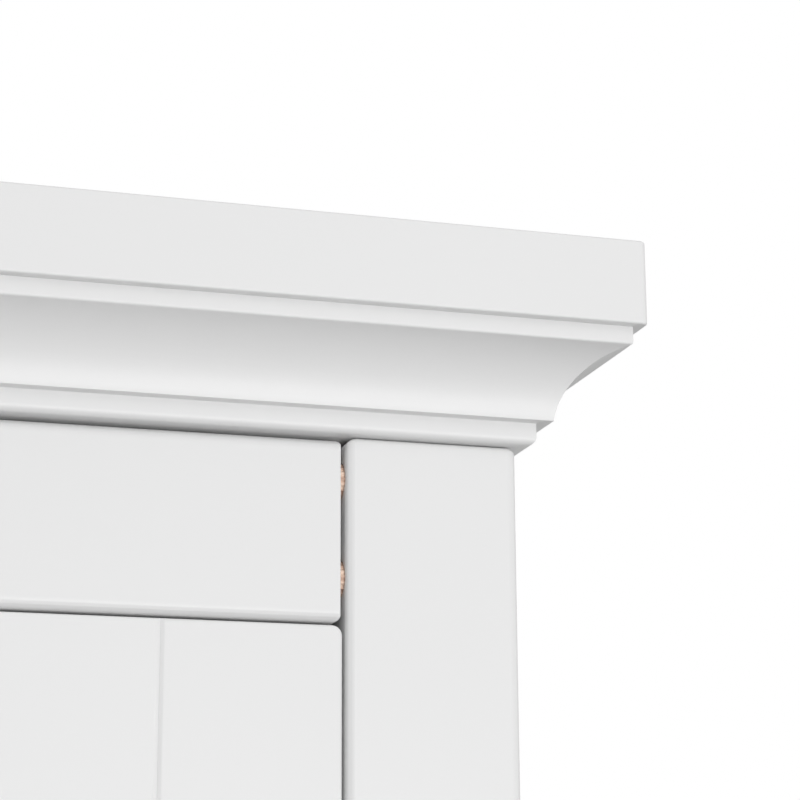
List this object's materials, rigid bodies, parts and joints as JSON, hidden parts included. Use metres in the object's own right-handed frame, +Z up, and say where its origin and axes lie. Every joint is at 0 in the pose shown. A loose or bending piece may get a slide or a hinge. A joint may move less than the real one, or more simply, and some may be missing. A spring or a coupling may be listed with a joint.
{
  "type": "armoire",
  "caption": "White painted wooden armoire: a slab top on a mitred crown, inset panel doors over a wide drawer, with a hat shelf and a hanging rod inside.",
  "frame": {"origin": "centre of the footprint on the floor, the bottom centre of the bounding box", "axes": "+X to the right seen from the front, +Y to the back (the doors face -Y), +Z up"},
  "size_m": [0.999, 0.5594, 1.83],
  "materials": {
    "white_paint": "satin white paint over solid pine",
    "bare_pine": "bare planed pine and beech, unfinished",
    "plywood": "bare plywood",
    "nickel": "satin nickel plate",
    "chrome": "bright chrome plate"
  },
  "bodies": {
    "case": {"back_panel": "white_paint", "base_panel": "white_paint", "bottom_rail": "white_paint", "crown_front": "white_paint", "crown_left": "white_paint", "crown_right": "white_paint", "door_stop": "white_paint", "hanging_rod": "chrome", "hat_shelf": "white_paint", "left_drawer_runner": "bare_pine", "left_lower_dowel": "bare_pine", "left_lower_hinge_frame_leaf": "nickel", "left_middle_hinge_frame_leaf": "nickel", "left_rod_cup": "chrome", "left_side_panel": "white_paint", "left_stile": "white_paint", "left_upper_dowel": "bare_pine", "left_upper_hinge_frame_leaf": "nickel", "middle_rail": "white_paint", "plinth_front": "white_paint", "plinth_left": "white_paint", "plinth_right": "white_paint", "right_drawer_runner": "bare_pine", "right_lower_dowel": "bare_pine", "right_lower_hinge_frame_leaf": "nickel", "right_middle_hinge_frame_leaf": "nickel", "right_rod_cup": "chrome", "right_side_panel": "white_paint", "right_stile": "white_paint", "right_upper_dowel": "bare_pine", "right_upper_hinge_frame_leaf": "nickel", "top_back_rail": "white_paint", "top_rail": "white_paint", "top_slab": "white_paint", "wardrobe_floor": "white_paint"},
    "left_door": {"left_door_bottom_rail": "white_paint", "left_door_hinge_stile": "white_paint", "left_door_knob": "white_paint", "left_door_lower_hinge_leaf": "nickel", "left_door_meeting_stile": "white_paint", "left_door_middle_hinge_leaf": "nickel", "left_door_panel": "white_paint", "left_door_top_rail": "white_paint", "left_door_upper_hinge_leaf": "nickel"},
    "right_door": {"right_door_bottom_rail": "white_paint", "right_door_hinge_stile": "white_paint", "right_door_knob": "white_paint", "right_door_lower_hinge_leaf": "nickel", "right_door_meeting_stile": "white_paint", "right_door_middle_hinge_leaf": "nickel", "right_door_panel": "white_paint", "right_door_top_rail": "white_paint", "right_door_upper_hinge_leaf": "nickel"},
    "drawer": {"drawer_back": "bare_pine", "drawer_bottom": "plywood", "drawer_front": "white_paint", "drawer_left_knob": "white_paint", "drawer_left_side": "bare_pine", "drawer_right_knob": "white_paint", "drawer_right_side": "bare_pine"}
  },
  "joints": [
    {"name": "left_door_swing", "type": "hinge", "parent": "case", "child": "left_door", "pos_m": [-0.4195, -0.25565, 1.05], "axis": [0, 0, -1], "range_deg": [0, 170]},
    {"name": "right_door_swing", "type": "hinge", "parent": "case", "child": "right_door", "pos_m": [0.4195, -0.25565, 1.05], "axis": [0, 0, 1], "range_deg": [0, 170]},
    {"name": "drawer_slide", "type": "slide", "parent": "case", "child": "drawer", "axis": [0, -1, 0], "range_m": [0, 0.38]}
  ]
}
